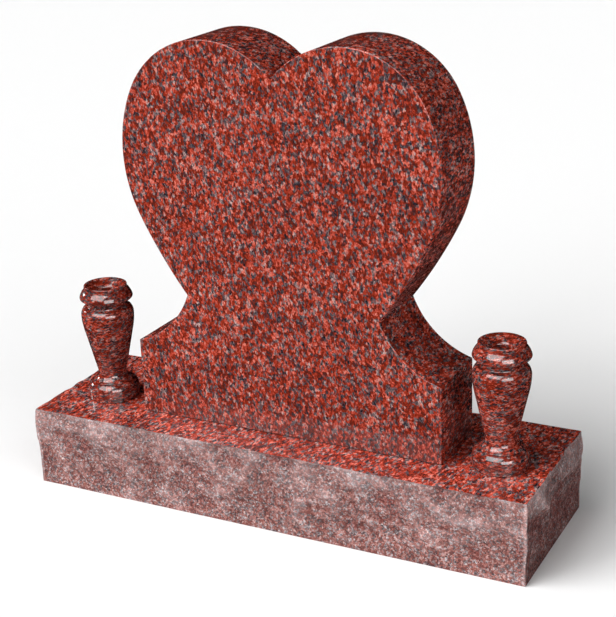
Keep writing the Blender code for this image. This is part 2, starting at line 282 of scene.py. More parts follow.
def with_flecks(tree, place, colour, fleck_colour):
    """A few pale flecks, each in the middle of a wide cell that its random number chose."""
    cells = node(tree, "ShaderNodeTexVoronoi", {"Vector": place, "Scale": 1.0 / FLECKS["spacing"]})
    number = node(tree, "ShaderNodeSeparateColor", {0: cells.outputs["Color"]}).outputs[1]
    chosen = maths(tree, "GREATER_THAN", number, FLECKS["chosen_above"])
    near = maths(tree, "LESS_THAN", cells.outputs["Distance"], FLECKS["reach"])
    amount = maths(tree, "MULTIPLY", maths(tree, "MULTIPLY", chosen, near), FLECKS["amount"])
    return blend_colours(tree, amount, colour, (*fleck_colour, 1.0))


def granite_colour(tree, grain, stone, stretch, tones, lightness):
    """Crystals in two sizes pick a tone, others pick red or muted stone, broad noise gathers both in drifts,
    the finest cells add glints, and clouds make wide patches lighter or darker. Returns the colour, the
    places and the crystals' numbers."""
    c = CRYSTALS
    place = stone_place(tree, stretch, grain * c["bend"])
    small = maths(tree, "MULTIPLY", grain_number(tree, place, grain * c["small"]), c["small_part"])
    number = maths(tree, "MULTIPLY_ADD", grain_number(tree, place, grain), c["large_part"], small)
    drift = broad_noise(tree, place, grain * c["drift"])
    drift = maths(tree, "MULTIPLY_ADD", drift, stone.drift, -stone.drift / 2)
    number = maths(tree, "ADD", number, drift)
    red, muted = (ramp(tree, number, tones[0], colours) for colours in tones[1:])
    colour = blend_colours(tree, muted_amount(tree, place, grain), red, muted)
    glint = grain_number(tree, place, grain * c["glint"])
    glint = maths(tree, "MULTIPLY_ADD", glint, 2 * stone.glint, 1.0 - stone.glint)
    cloud = broad_noise(tree, place, CLOUD_SIZE)
    cloud = maths(tree, "MULTIPLY_ADD", cloud, 2 * stone.cloud * lightness, (1.0 - stone.cloud) * lightness)
    level = maths(tree, "MULTIPLY", glint, cloud)
    colour = vector_maths(tree, "SCALE", {0: colour, "Scale": level})
    return with_flecks(tree, place, colour, stone.fleck_colour), place, number


def new_material(name):
    """A new material's node tree and its shader."""
    material = bpy.data.materials.new(name)
    material.use_nodes = True
    tree = material.node_tree
    return tree, tree.nodes["Principled BSDF"]


def dull(shader, roughness, specular):
    """Gives a shader an even roughness and a weak shine."""
    shader.inputs["Roughness"].default_value = roughness
    shader.inputs["Specular IOR Level"].default_value = specular


def polished_material(name, stone, stretch, roughness, lightness):
    """Polished granite, in which the darker crystals take the polish a little less well."""
    tree, shader = new_material(name)
    colour, _, number = granite_colour(tree, stone.grain, stone, stretch, POLISHED_TONES, lightness)
    tree.links.new(colour, shader.inputs["Base Color"])
    rough = maths(tree, "MULTIPLY_ADD", number, POLISH_BY_TONE, roughness + POLISH_LOSS)
    tree.links.new(rough, shader.inputs["Roughness"])


def dust_and_ridge_light_amount(tree, place, wear_and_shade, top):
    """Dust and painted ridge light lie thickest on the ridges, dust lies in a ragged strip under the top
    edge, and the pale mix thins out towards the foot and comes in patches."""
    height = node(tree, "ShaderNodeSeparateXYZ", {0: object_place(tree)}).outputs["Z"]
    below = maths(tree, "SUBTRACT", top, height)
    ragged = broad_noise(tree, place, STRIP["ragged_size"], STRIP_DETAIL)
    ragged = maths(tree, "MULTIPLY_ADD", ragged, STRIP["height"], STRIP["start"])
    strip = maths(tree, "LESS_THAN", below, ragged)
    fade = maths(tree, "DIVIDE", below, top, clamp=True)
    patches = broad_noise(tree, place, DUST["patch_size"], PATCH_DETAIL)
    patches = maths(tree, "MULTIPLY_ADD", patches, DUST["patches"], -DUST["patches"] / 2)
    dust = maths(tree, "MULTIPLY_ADD", fade, DUST["towards_foot"], DUST["at_top"])
    # Dust and painted light on the ridges
    dust = maths(tree, "MULTIPLY_ADD", wear_and_shade, DUST["dust_and_light_on_ridges"], dust)
    dust = maths(tree, "MULTIPLY_ADD", strip, DUST["in_strip"], dust)
    dust = maths(tree, "ADD", dust, patches, clamp=True)
    return maths(tree, "MULTIPLY", dust, DUST["most"])


def pitched_material(name, stone, top):
    """Broken stone: fine bruised crystals, dusty and painted lighter on the ridges, redder and darker with
    painted shade in the hollows.
    """
    tree, shader = new_material(name)
    colour, place, _ = granite_colour(tree, stone.broken_grain, stone, (1.0, 1.0, 1.0), BROKEN_TONES,
                                      stone.broken_lightness)
    wear_and_shade = node(tree, "ShaderNodeAttribute", {}, attribute_name=WEAR_SHADE_ATTRIBUTE).outputs["Fac"]
    dust = dust_and_ridge_light_amount(tree, place, wear_and_shade, top)
    colour = blend_colours(tree, dust, colour, (*stone.dust_colour, 1.0))
    # Painted shade in the bowls, tinted redder
    hollow = maths(tree, "MULTIPLY_ADD", wear_and_shade, HOLLOW_TINT_AND_SHADE["by_wear"], HOLLOW_TINT_AND_SHADE["start"], clamp=True)
    colour = blend_colours(tree, hollow, colour, HOLLOW_TINT_AND_SHADE["tint"], "MULTIPLY")
    # Painted light on the ridges and painted shade in the bowls
    level = maths(tree, "MULTIPLY_ADD", wear_and_shade, RIDGE_LIGHT_AND_BOWL_SHADE, 1.0)
    colour = vector_maths(tree, "SCALE", {0: colour, "Scale": level})
    tree.links.new(colour, shader.inputs["Base Color"])
    dull(shader, BROKEN_ROUGHNESS, BROKEN_SPECULAR)
    bruises = broad_noise(tree, place, BRUISES["size"], BRUISE_DETAIL)
    bump = {"Height": bruises, "Strength": BRUISES["strength"], "Distance": BRUISES["depth"]}
    tree.links.new(node(tree, "ShaderNodeBump", bump).outputs["Normal"], shader.inputs["Normal"])


def joint_shade_material(name, stone):
    """The dark line of shade and setting compound under a stone."""
    _, shader = new_material(name)
    shader.inputs["Base Color"].default_value = (*stone.joint_shade_colour, 1.0)
    dull(shader, JOINT_ROUGHNESS, JOINT_SPECULAR)


# Settings

def length(name, description, default):
    """A length that the user can change."""
    return bpy.props.FloatProperty(name=name, description=description, default=default, min=0.0,
                                   unit="LENGTH", subtype="DISTANCE", precision=4)


def share(name, description, default, top=1.0):
    """A share of a whole, or another plain number from 0 up."""
    return bpy.props.FloatProperty(name=name, description=description, default=default, min=0.0, max=top,
                                   subtype="FACTOR")


def angle(name, description, degrees):
    """An angle, given in degrees."""
    return bpy.props.FloatProperty(name=name, description=description, default=math.radians(degrees),
                                   subtype="ANGLE", unit="ROTATION")


def brightness(name, description, default):
    """How strong a light is."""
    return bpy.props.FloatProperty(name=name, description=description, default=default, min=0.0)


def tint(name, description, default):
    """A colour that the user can change."""
    return bpy.props.FloatVectorProperty(name=name, description=description, default=default, size=3, min=0.0,
                                         max=1.0, subtype="COLOR")


def drawing_out(name, description, default):
    """How far crystals are drawn out along X, Y and Z."""
    return bpy.props.FloatVectorProperty(name=name, description=description, default=default, size=3,
                                         subtype="XYZ")


class StoneSettings(bpy.types.PropertyGroup):
    """The red granite's pattern."""
    grain: length("Crystal size", "Usual width of a large crystal on the polished faces", 0.0048)
    broken_grain: length("Broken crystal size", "Usual width of a large crystal on the pitched sides", 0.0036)
    drift: share("Drift", "How far the minerals gather in patches", 0.47)
    glint: share("Glint", "How much the smallest crystals differ in brightness", 0.21)
    cloud: share("Cloud", "How much broad patches differ in brightness", 0.22)
    tablet_stretch: drawing_out("Tablet stretch", "Stretch of the tablet's crystals", (0.85, 1.40, 1.36))
    edge_stretch: drawing_out("Edge stretch", "Stretch of the crystals of its edges", (0.95, 1.60, 0.85))
    base_stretch: drawing_out("Base stretch", "Stretch of the base's crystals", (0.95, 1.7, 0.95))
    vase_stretch: drawing_out("Vase stretch", "Stretch of the vases' crystals", (1.25, 1.25, 0.62))
    tablet_lightness: share("Tablet lightness", "How light the tablet's faces are", 0.665, 2.0)
    # The edges and the base's top are lighter copies of the same polished granite: painted light from above
    edge_tone_and_painted_light: share("Edge lightness", "How light the tablet's edges are", 0.86, 2.0)
    top_tone_and_painted_light: share("Top lightness", "How light the base's polished top is", 1.14, 2.0)
    vase_lightness: share("Vase lightness", "How light the vases are", 0.60, 2.0)
    broken_lightness: share("Broken lightness", "How light the pitched sides are", 0.61, 2.0)
    polish: share("Polish roughness", "Roughness of the tablet and the base's top", 0.12)
    vase_polish: share("Vase roughness", "Roughness of the vases", 0.10)
    fleck_colour: tint("Fleck colour", "Colour of the few pale flecks", (0.62, 0.44, 0.40))
    dust_colour: tint("Dust colour", "Colour of the dust on the pitched sides", (0.305, 0.268, 0.268))
    # Colour of the joint line, which is also painted contact shade
    joint_shade_colour: tint("Joint colour", "Colour of the thin joint under a stone", (0.035, 0.012, 0.010))


class BaseSettings(bpy.types.PropertyGroup):
    """The pitched base."""
    length: length("Length", "Length of the polished top", 0.9975)
    depth: length("Depth", "Depth of the polished top", 0.306)
    height: length("Height", "Height of the base", BASE_TOP)
    arris: length("Arris", "Height of the edge under the polished top", 0.003)
    face_pitch: length("Face pitch", "How far the long sides stand proud", 0.0045)
    end_pitch: length("End pitch", "How far the short ends stand proud", 0.0100)
    step: length("Step", "Distance between points along a side", 0.0034)


class TabletSettings(bpy.types.PropertyGroup):
    """The heart tablet's outline, from its own underside."""
    thickness: length("Thickness", "Front to back", 0.150)
    arris: length("Arris", "Width of the rounded edge", 0.0015)
    foot_width: length("Foot width", "Width of the foot", 0.6125)
    shoulder_height: length("Shoulder height", "Height of the foot's upright ends", 0.1457)
    cove_depth: length("Cove depth", "Depth of the hollow above the foot", 0.0180)
    waist_height: length("Waist height", "Height of the narrowest place", 0.2495)
    lobe_height: length("Lobe height", "Height of the lobes' tops", 0.7192)
    lobe_x: length("Lobe middle", "Distance of a lobe's top from the middle", 0.1331)
    cleft_depth: length("Cleft depth", "Depth of the cleft below the lobes' tops", 0.0608)
    lobe_radius: length("Lobe radius", "Radius over the lobe", 0.1665)
    side_radius: length("Side radius", "Radius of the lobe's outer side", 0.2655)
    flank_radius: length("Flank radius", "Radius of the long flank", 0.9055)
    lobe_sweep: angle("Lobe sweep", "Angle that the lobe's arc takes up", 64.2)
    side_sweep: angle("Side sweep", "Angle that the side's arc takes up", 52.7)
    step: length("Step", "Distance between points along the outline", 0.004)


class VaseSettings(bpy.types.PropertyGroup):
    """The turned flower vases, from their own underside."""
    height: length("Height", "Height of a vase", 0.2310)
    facets: bpy.props.IntProperty(name="Facets", description="Points around a vase", default=144, min=24)
    step: length("Step", "Distance between points along the profile", 0.0011)


class StageSettings(bpy.types.PropertyGroup):
    """The camera, the lights and the floor."""
    focal_length: bpy.props.FloatProperty(name="Focal length", description="The camera's lens", default=83.05,
                                          unit="CAMERA")
    daylight: brightness("Daylight", "Strength of the four broad soft lights together", 6.15)
    window: brightness("Window light", "Brightness of the large soft window", 8.0)
    strip: brightness("Low light", "Brightness of the small low window", 10.0)
    lamp: brightness("Side lamp", "Brightness of the small lamp far to the left", 20.0)
    room: brightness("Room light", "Brightness of the even light all round", 0.02)


SETTINGS = {
    "headstone_stone": StoneSettings,
    "headstone_base": BaseSettings,
    "headstone_tablet": TabletSettings,
    "headstone_vase": VaseSettings,
    "headstone_stage": StageSettings,
}


# Base

SCAR = {"length": 0.090, "height": 0.040, "depth": 0.0040, "spacing": 0.075}
PITCH_SKEW = 0.62
CORNER_FADE = 0.070
CORNER_SHARE = 0.30
# Corners within this reach are painted pale, as wear and as painted light
CORNER_WEAR_AND_LIGHT = 0.004
# Chisel bowls, each with its length, height and depth, and finer noise with its size and height
WIDE_BOWLS, NARROW_BOWLS = (0.062, 0.050, 0.0075), (0.021, 0.016, 0.0042)
FINE_NOISE = ((0.0085, 0.0008), (0.0040, 0.0005))
MIDDLE_OF_BOWL, BOWL_SLANT, RIDGE_INSET, EDGE_GAIN = 0.45, 0.45, 0.0032, 2.5
# The spalled band under the top edge: its mean drop, two waves of its border, and its own step
BAND = {"drop": 0.048, "wave": 0.020, "wave_length": 0.055, "ripple": 0.008, "ripple_length": 0.014,
        "edge": 0.006, "step": 0.0040}
CHIPS = {"height": 0.012, "length": 0.024, "more": 0.25, "depth": 0.32}
# Wear and painted shade: high on ridges and corners, which are painted pale, low in the bowls, which get
# painted shade
WEAR_AND_SHADE = {"mean": 0.10, "wide": 1.2, "narrow": 0.9, "band": 0.85, "under_band": 0.60}
SEED_STEP = 7
ARRIS_MIDDLE = 0.6


def pitch_scars(seed, side_length, base_height):
    """The bowls that the solids have on this side: centre, half sizes and depth of each."""
    chance = random.Random(seed)
    count = max(2, round(side_length / SCAR["spacing"]))
    scars = []
    for index in range(count):
        along = (index + chance.uniform(0.15, 0.85)) * side_length / count
        height = base_height * chance.uniform(0.15, 0.95)
        half_length = SCAR["length"] * chance.uniform(0.55, 1.25)
        half_height = SCAR["height"] * chance.uniform(0.60, 1.30)
        scars.append((along, height, half_length, half_height, SCAR["depth"] * chance.uniform(0.50, 1.00)))
    return scars


def spalled_band(along, height, base, seed):
    """One in the band under the top edge and none below its wavy border, with a short slope between."""
    border = BAND["drop"] + BAND["wave"] * smooth_noise(along, 0 * along, BAND["wave_length"], seed + 8)
    border += BAND["ripple"] * smooth_noise(along, height, BAND["ripple_length"], seed + 9)
    return np.clip(0.5 + (border - (base.height - height)) / BAND["edge"], 0.0, 1.0)


def pitched_relief(along, height, base, proud, seed, side_length):
    """How far a side stands out, and its wear and painted shade: the solids' skewed arch less its deepest
    bowl, then chisel scallops and grain, which fade out at the foot and the top edge, a spalled band that
    stands out most on the short ends, and a chipped top edge. Ridges are painted pale, partly as wear and
    partly as painted light, and bowls get painted shade; on the short ends the spalled band is painted paler
    and the face below it darker."""
    below = np.clip(1.0 - height / base.height, 0.0, 1.0)
    arch = np.sin(np.pi * below ** PITCH_SKEW)
    bowl = np.zeros_like(arch)
    for centre, level, half_length, half_height, depth in pitch_scars(seed, side_length, base.height):
        inside = 1.0 - ((along - centre) / half_length) ** 2 - ((height - level) / half_height) ** 2
        bowl = np.maximum(bowl, depth * inside)
    relief = np.maximum(0.0, proud * arch - bowl * np.sqrt(np.maximum(0.0, arch)))
    seed = seed * SEED_STEP
    slant = along + BOWL_SLANT * height
    wide = MIDDLE_OF_BOWL - chisel_scallops(slant, height, WIDE_BOWLS, seed)
    narrow = MIDDLE_OF_BOWL - chisel_scallops(slant, height, NARROW_BOWLS, seed + 3)
    scallop = -RIDGE_INSET - WIDE_BOWLS[2] * wide - NARROW_BOWLS[2] * narrow
    for index, (size, rise) in enumerate(FINE_NOISE):
        scallop += rise * smooth_noise(along, height, size, seed + 5 + index)
    band = spalled_band(along, height, base, seed)
    spall = proud / base.end_pitch
    relief = relief + (scallop + BAND["step"] * spall * (band - 0.5)) * np.minimum(1.0, arch * EDGE_GAIN)
    near_top = np.clip(1.0 - (base.height - height) / CHIPS["height"], 0.0, 1.0)
    chips = np.maximum(0.0, CHIPS["more"] + smooth_noise(along, 0 * along, CHIPS["length"], seed + 10))
    relief = relief - CHIPS["depth"] * proud * chips * near_top
    # Ridges painted pale and bowls painted dark: partly wear, partly painted light and shade following the
    # relief
    wear_and_shade = WEAR_AND_SHADE["mean"] - WEAR_AND_SHADE["wide"] * wide - WEAR_AND_SHADE["narrow"] * narrow
    wear_and_shade = wear_and_shade + spall ** 3 * (WEAR_AND_SHADE["band"] * band - WEAR_AND_SHADE["under_band"])
    return relief, np.clip(wear_and_shade, -1.0, 1.0)


def corner_relief(along, heights, base, side_length, proud, seed):
    """How far the corner follows a side's own relief there, as a column."""
    return CORNER_SHARE * pitched_relief(along, heights, base, proud, seed, side_length)[0][:, None]


def base_ring(base, heights):
    """Points of every level with their wear and painted shade: every side is pushed out by its relief, with
    the corners shared by two sides and painted pale, as wear and as painted light."""
    half_length, half_depth = base.length / 2, base.depth / 2
    # Each side: its start, its direction, its outward normal, its length, how proud it stands and its seed
    sides = [
        ((-half_length, -half_depth), (1, 0), (0, -1), base.length, base.face_pitch, 11),
        ((half_length, -half_depth), (0, 1), (1, 0), base.depth, base.end_pitch, 23),
        ((half_length, half_depth), (-1, 0), (0, 1), base.length, base.face_pitch, 37),
        ((-half_length, half_depth), (0, -1), (-1, 0), base.depth, base.end_pitch, 41),
    ]
    parts = []
    for index, (start, direction, normal, side_length, proud, seed) in enumerate(sides):
        before, after = sides[index - 1][3:], sides[(index + 1) % 4][3:]
        count = max(3, round(side_length / base.step))
        along, level = np.meshgrid(side_length * np.arange(count) / count, heights)
        pull_start = corner_relief(np.full_like(heights, before[0]), heights, base, *before)
        pull_end = corner_relief(np.zeros_like(heights), heights, base, *after)
        from_corner = np.minimum(along, side_length - along)
        share_out = CORNER_SHARE + (1.0 - CORNER_SHARE) * np.minimum(1.0, from_corner / CORNER_FADE)
        relief, wear_and_shade = pitched_relief(along, level, base, proud, seed, side_length)
        wear_and_shade = np.where(from_corner < CORNER_WEAR_AND_LIGHT, 1.0, wear_and_shade)
        out = share_out * relief
        slide = pull_end * np.maximum(0.0, 1.0 - (side_length - along) / CORNER_FADE)
        slide = slide - pull_start * np.maximum(0.0, 1.0 - along / CORNER_FADE)
        x = start[0] + direction[0] * (along + slide) + normal[0] * out
        y = start[1] + direction[1] * (along + slide) + normal[1] * out
        parts.append(np.stack([x, y, level, wear_and_shade], -1))
    return np.concatenate(parts, 1)


def build_base(base):
    """Levels of points up the pitched sides, a chipped arris, and the flat polished top."""
    side_top = base.height - base.arris
    rows = round(side_top / base.step)
    upper = [side_top + ARRIS_MIDDLE * base.arris, base.height]
    heights = np.concatenate([np.linspace(0.0, side_top, rows + 1), upper])
    levels = base_ring(base, heights)
    count = levels.shape[1]
    quads = ring_quads(len(heights), count).tolist()
    top = list(range((len(heights) - 1) * count, len(heights) * count))
    underside = list(range(count))[::-1]
    kinds = [0] * len(quads) + [1, 0]
    piece = mesh_object("base_block", levels[..., :3].reshape(-1, 3), quads + [top, underside],
                        ["broken_sides", "polished_top"], kinds, SHARP_BASE)
    # Wear and painted shade kept on every point for the pitched material
    wear_and_shade = piece.data.attributes.new(WEAR_SHADE_ATTRIBUTE, "FLOAT", "POINT")
    wear_and_shade.data.foreach_set("value", levels[..., 3].ravel())
    join_body(piece, "pitched_granite", "base")


# Curves

def oval(centre, radius_x, radius_z, start, end, step):
    """Points on an ellipse's arc without the first one; angles run from straight up towards +X."""
    count = max(3, round((radius_x + radius_z) / 2 * abs(end - start) / step))
    turn = start + (end - start) * np.arange(1, count + 1) / count
    return np.stack([centre[0] + radius_x * np.sin(turn), centre[1] + radius_z * np.cos(turn)], -1)


def arc(centre, radius, start, end, step):
    """Points on a circle's arc without the first one; angles run from straight up towards +X."""
    return oval(centre, radius, radius, start, end, step)


# Tablet

ARRIS_ROWS, WALL_ROWS = 5, 5
UNDERSIDE_STEP = 0.02


def cove(tablet, waist_x):
    """The hollow arc from the flank out to the foot's shoulder, from its chord and its depth."""
    foot_x = tablet.foot_width / 2
    rise = tablet.waist_height - tablet.shoulder_height
    chord = math.hypot(foot_x - waist_x, rise)
    radius = (chord ** 2 / 4 + tablet.cove_depth ** 2) / (2 * tablet.cove_depth)
    reach = radius - tablet.cove_depth
    centre = ((waist_x + foot_x) / 2 + rise / chord * reach,
              (tablet.waist_height + tablet.shoulder_height) / 2 + (foot_x - waist_x) / chord * reach)
    start = math.atan2(waist_x - centre[0], tablet.waist_height - centre[1])
    end = math.atan2(foot_x - centre[0], tablet.shoulder_height - centre[1])
    if end > start:
        end -= 2 * math.pi
    return arc(centre, radius, start, end, tablet.step)


def half_outline(tablet):
    """Right half of the outline, from the cleft over the lobe and down to the foot, as tangent arcs."""
    inner_radius = (tablet.lobe_x ** 2 + tablet.cleft_depth ** 2) / (2 * tablet.cleft_depth)
    inner_centre = (tablet.lobe_x, tablet.lobe_height - inner_radius)
    parts = [np.array([[0.0, tablet.lobe_height - tablet.cleft_depth]]),
             arc(inner_centre, inner_radius, -math.asin(tablet.lobe_x / inner_radius), 0.0, tablet.step)]
    centre = (tablet.lobe_x, tablet.lobe_height - tablet.lobe_radius)
    parts.append(arc(centre, tablet.lobe_radius, 0.0, tablet.lobe_sweep, tablet.step))
    shift, turn = tablet.lobe_radius - tablet.side_radius, tablet.lobe_sweep
    centre = (centre[0] + shift * math.sin(turn), centre[1] + shift * math.cos(turn))
    side_end = turn + tablet.side_sweep
    parts.append(arc(centre, tablet.side_radius, turn, side_end, tablet.step))
    shift = tablet.side_radius - tablet.flank_radius
    centre = (centre[0] + shift * math.sin(side_end), centre[1] + shift * math.cos(side_end))
    flank_end = math.acos((tablet.waist_height - centre[1]) / tablet.flank_radius)
    parts.append(arc(centre, tablet.flank_radius, side_end, flank_end, tablet.step))
    parts.append(cove(tablet, parts[-1][-1, 0]))
    foot_x = tablet.foot_width / 2
    count = round(tablet.shoulder_height / tablet.step)
    heights = tablet.shoulder_height * (1 - np.arange(1, count + 1) / count)
    parts.append(np.stack([np.full(count, foot_x), heights], -1))
    return np.concatenate(parts)


def unit(rows):
    """Each row as a direction of length one."""
    return rows / np.linalg.norm(rows, axis=1)[:, None]


def inset(loop, distance):
    """A closed loop moved inwards, each point along the bisector of its two edges."""
    edge = unit(np.roll(loop, -1, 0) - loop)
    after = np.stack([edge[:, 1], -edge[:, 0]], -1)
    before = np.roll(after, 1, 0)
    middle = unit(before + after)
    return loop + middle * (distance / (middle * before).sum(1))[:, None]


def build_tablet(tablet):
    """The outline carried through the thickness on rings, with a rounded arris at the front and the back."""
    right = half_outline(tablet)
    left = right[1:][::-1] * (-1, 1)
    foot_x = tablet.foot_width / 2
    under = np.linspace(foot_x, -foot_x, round(tablet.foot_width / UNDERSIDE_STEP) + 1)[1:-1]
    loop = np.concatenate([right, np.stack([under, 0 * under], -1), left])
    half, edge = tablet.thickness / 2, tablet.arris
    rings = [(-half + edge * (1 - math.sin(turn)), edge * (1 - math.cos(turn)))
             for turn in np.linspace(math.pi / 2, 0.0, ARRIS_ROWS)]
    walls = [(depth, 0.0) for depth in np.linspace(-half + edge, half - edge, WALL_ROWS)[1:-1]]
    rings = rings + walls + [(-y, margin) for y, margin in reversed(rings)]
    middle_x = (TABLET_LOW.x + TABLET_HIGH.x) / 2
    points = []
    for y, margin in rings:
        moved = inset(loop, margin)
        x, z = moved[:, 0] + middle_x, moved[:, 1] + TABLET_LOW.z
        points.append(np.stack([x, np.full(len(moved), y), z], -1))
    points = np.concatenate(points)
    count = len(loop)
    quads = ring_quads(len(rings), count)[:, ::-1]
    front = list(range(count))
    back = list(range((len(rings) - 1) * count, len(rings) * count))[::-1]
    # Faces along the underside get the dark joint: setting compound and painted contact shade
    kinds = joint_shade_kinds(points, quads, TABLET_LOW.z + edge + JOINT_SHADE_REACH, 2, 1) + [0, 0]
    piece = mesh_object("heart_tablet", points, quads.tolist() + [front, back],
                        ["polished_heart", "polished_edges", "joint_and_contact_shade"], kinds, SHARP_TABLET)
    join_body(piece, "polished_granite", "tablet")


# Vases

VASE_PROFILE = {
    "foot_radius": 0.0500, "foot_chamfer": 0.0013, "foot_edge": 0.0225, "foot_round_height": 0.0120,
    "foot_round_inset": 0.0080, "foot_bulge": 0.50, "ring_radius": 0.0380, "ring_thickness": 0.0025,
    "flare_pull": 0.35, "stem_radius": 0.0275, "stem_height": 0.0540, "belly_radius": 0.0508,
    "belly_arc": 0.0290, "belly_round_height": 0.0112, "belly_round_reach": 0.0160,
    "shoulder_inset": 0.0026, "shoulder_drop": 0.0071, "shoulder_sweep": math.radians(72),
    "neck_radius": 0.0388, "groove_depth": 0.0018, "groove_height": 0.0116, "bead_radius": 0.0511,
    "bead_drop": 0.0240, "bead_under": 0.0074, "bead_bulge": 0.50, "collar_radius": 0.0416,
    "collar_depth": 0.0080, "lip_round": 0.0018, "lip_ease": 0.0014, "throat_depth": 0.0135,
    "throat_ease": 0.0040, "bore_radius": 0.0205, "bore_depth": 0.122, "bore_fillet": 0.006,
}
STRAIGHT_STEPS = 3
LEAST_CURVE, TAPER_STEPS = 6, 24


def run(start, end, step):
    """Points on a straight run without the first one."""
    start, end = map(np.array, (start, end))
    count = max(1, round(float(np.linalg.norm(end - start)) / (STRAIGHT_STEPS * step)))
    return start + (end - start) * (np.arange(1, count + 1) / count)[:, None]


def bend(start, corner, end, step):
    """A curve that starts towards the corner and ends coming from it, without its first point."""
    start, corner, end = map(np.array, (start, corner, end))
    count = max(LEAST_CURVE, round(float(np.linalg.norm(end - start)) / step))
    t = (np.arange(1, count + 1) / count)[:, None]
    return (1 - t) ** 2 * start + 2 * t * (1 - t) * corner + t * t * end


def swell(top, low, bulge, step):
    """From a narrow top out to a wide low place: the chord pushed out by a share of a quarter oval."""
    count = max(LEAST_CURVE, round(math.dist(top, low) / step))
    turn = math.pi / 2 * np.arange(1, count + 1) / count
    out, down = np.sin(turn), 1 - np.cos(turn)
    along = (out + down) / 2
    out, down = along + bulge * (out - along), along + bulge * (down - along)
    return np.stack([top[0] + (low[0] - top[0]) * out, top[1] + (low[1] - top[1]) * down], -1)


def bore_run(top, step):
    """The bore's floor and wall, and the funnel up to the lip's crest."""
    p = VASE_PROFILE
    floor, radius, fillet = top - p["bore_depth"], p["bore_radius"], p["bore_fillet"]
    crest = p["collar_radius"] - p["lip_round"]
    throat, mouth = np.array((radius, top - p["throat_depth"])), np.array((crest - p["lip_ease"], top))
    slope = (mouth - throat) / np.linalg.norm(mouth - throat)
    wall_end = (radius, throat[1] - p["throat_ease"])
    funnel_start, funnel_end = throat + slope * p["throat_ease"], mouth - slope * p["lip_ease"]
    return [np.array([[0.0, floor]]), run((0.0, floor), (radius - fillet, floor), step),
            arc((radius - fillet, floor + fillet), fillet, math.pi, math.pi / 2, step),
            run((radius, floor + fillet), wall_end, step), bend(wall_end, throat, funnel_start, step),
            run(funnel_start, funnel_end, step), bend(funnel_end, mouth, (crest, top), step / 2)]


def mouldings_run(top, step):
    """The rounded lip, the collar, the bead, the groove and the shoulder down to the belly's widest place."""
    p = VASE_PROFILE
    collar, neck, bead = p["collar_radius"], p["neck_radius"], (p["bead_radius"], top - p["bead_drop"])
    crest = (collar - p["lip_round"], top - p["lip_round"])
    collar_foot = (collar, top - p["collar_depth"])
    groove_top = bead[1] - p["bead_under"]
    half_groove = p["groove_height"] / 2
    shoulder_foot = groove_top - p["groove_height"] - p["shoulder_drop"]
    parts = [arc(crest, p["lip_round"], 0.0, math.pi / 2, step / 2),
             run((collar, crest[1]), collar_foot, step), swell(collar_foot, bead, p["bead_bulge"], step),
             oval((neck, bead[1]), bead[0] - neck, p["bead_under"], math.pi / 2, math.pi, step),
             oval((neck, groove_top - half_groove), p["groove_depth"], half_groove, 0.0, -math.pi, step),
             oval((neck, shoulder_foot), p["belly_radius"] - p["shoulder_inset"] - neck, p["shoulder_drop"],
                  0.0, p["shoulder_sweep"], step)]
    edge = parts[-1][-1]
    belly = (p["belly_radius"] - p["belly_round_reach"], edge[1] - p["belly_round_height"])
    start = math.asin((edge[0] - belly[0]) / p["belly_round_reach"])
    parts.append(oval(belly, p["belly_round_reach"], p["belly_round_height"] / math.cos(start), start,
                      math.pi / 2, step))
    return parts


def foot_run(belly_height, step):
    """The long taper from the belly to the stem, the flare, the ring and the foot."""
    p = VASE_PROFILE
    stem, foot = (p["stem_radius"], p["stem_height"]), p["foot_radius"]
    taper_drop = belly_height - p["belly_arc"] - stem[1]
    taper = (p["belly_radius"] - stem[0]) / (taper_drop + p["belly_arc"] / 2)
    drop = np.arange(1, TAPER_STEPS + 1) / TAPER_STEPS
    parts = [np.stack([p["belly_radius"] - taper * p["belly_arc"] / 2 * drop ** 2,
                       belly_height - p["belly_arc"] * drop], -1)]
    parts.append(run(parts[0][-1], stem, step))
    ring_foot = p["foot_edge"] + p["foot_round_height"]
    ring_top = ring_foot + p["ring_thickness"]
    half_ring = p["ring_thickness"] / 2
    slope_top = (foot - p["foot_round_inset"], ring_foot)
    parts.append(bend(stem, (stem[0], ring_top + (stem[1] - ring_top) * p["flare_pull"]),
                      (p["ring_radius"], ring_top), step))
    parts.append(arc((p["ring_radius"], ring_foot + half_ring), half_ring, 0.0, math.pi, step / 2))
    parts.append(run(parts[-1][-1], slope_top, step))
    parts.append(swell(slope_top, (foot, p["foot_edge"]), p["foot_bulge"], step))
    for corner in ((foot, p["foot_chamfer"]), (foot - p["foot_chamfer"], 0.0), (0.0, 0.0)):
        parts.append(run(parts[-1][-1], corner, step))
    return parts


def vase_profile(vase):
    """Radius and height from the bore's floor over the lip and down to the middle of the underside."""
    parts = bore_run(vase.height, vase.step) + mouldings_run(vase.height, vase.step)
    return np.concatenate(parts + foot_run(parts[-1][-1][1], vase.step))


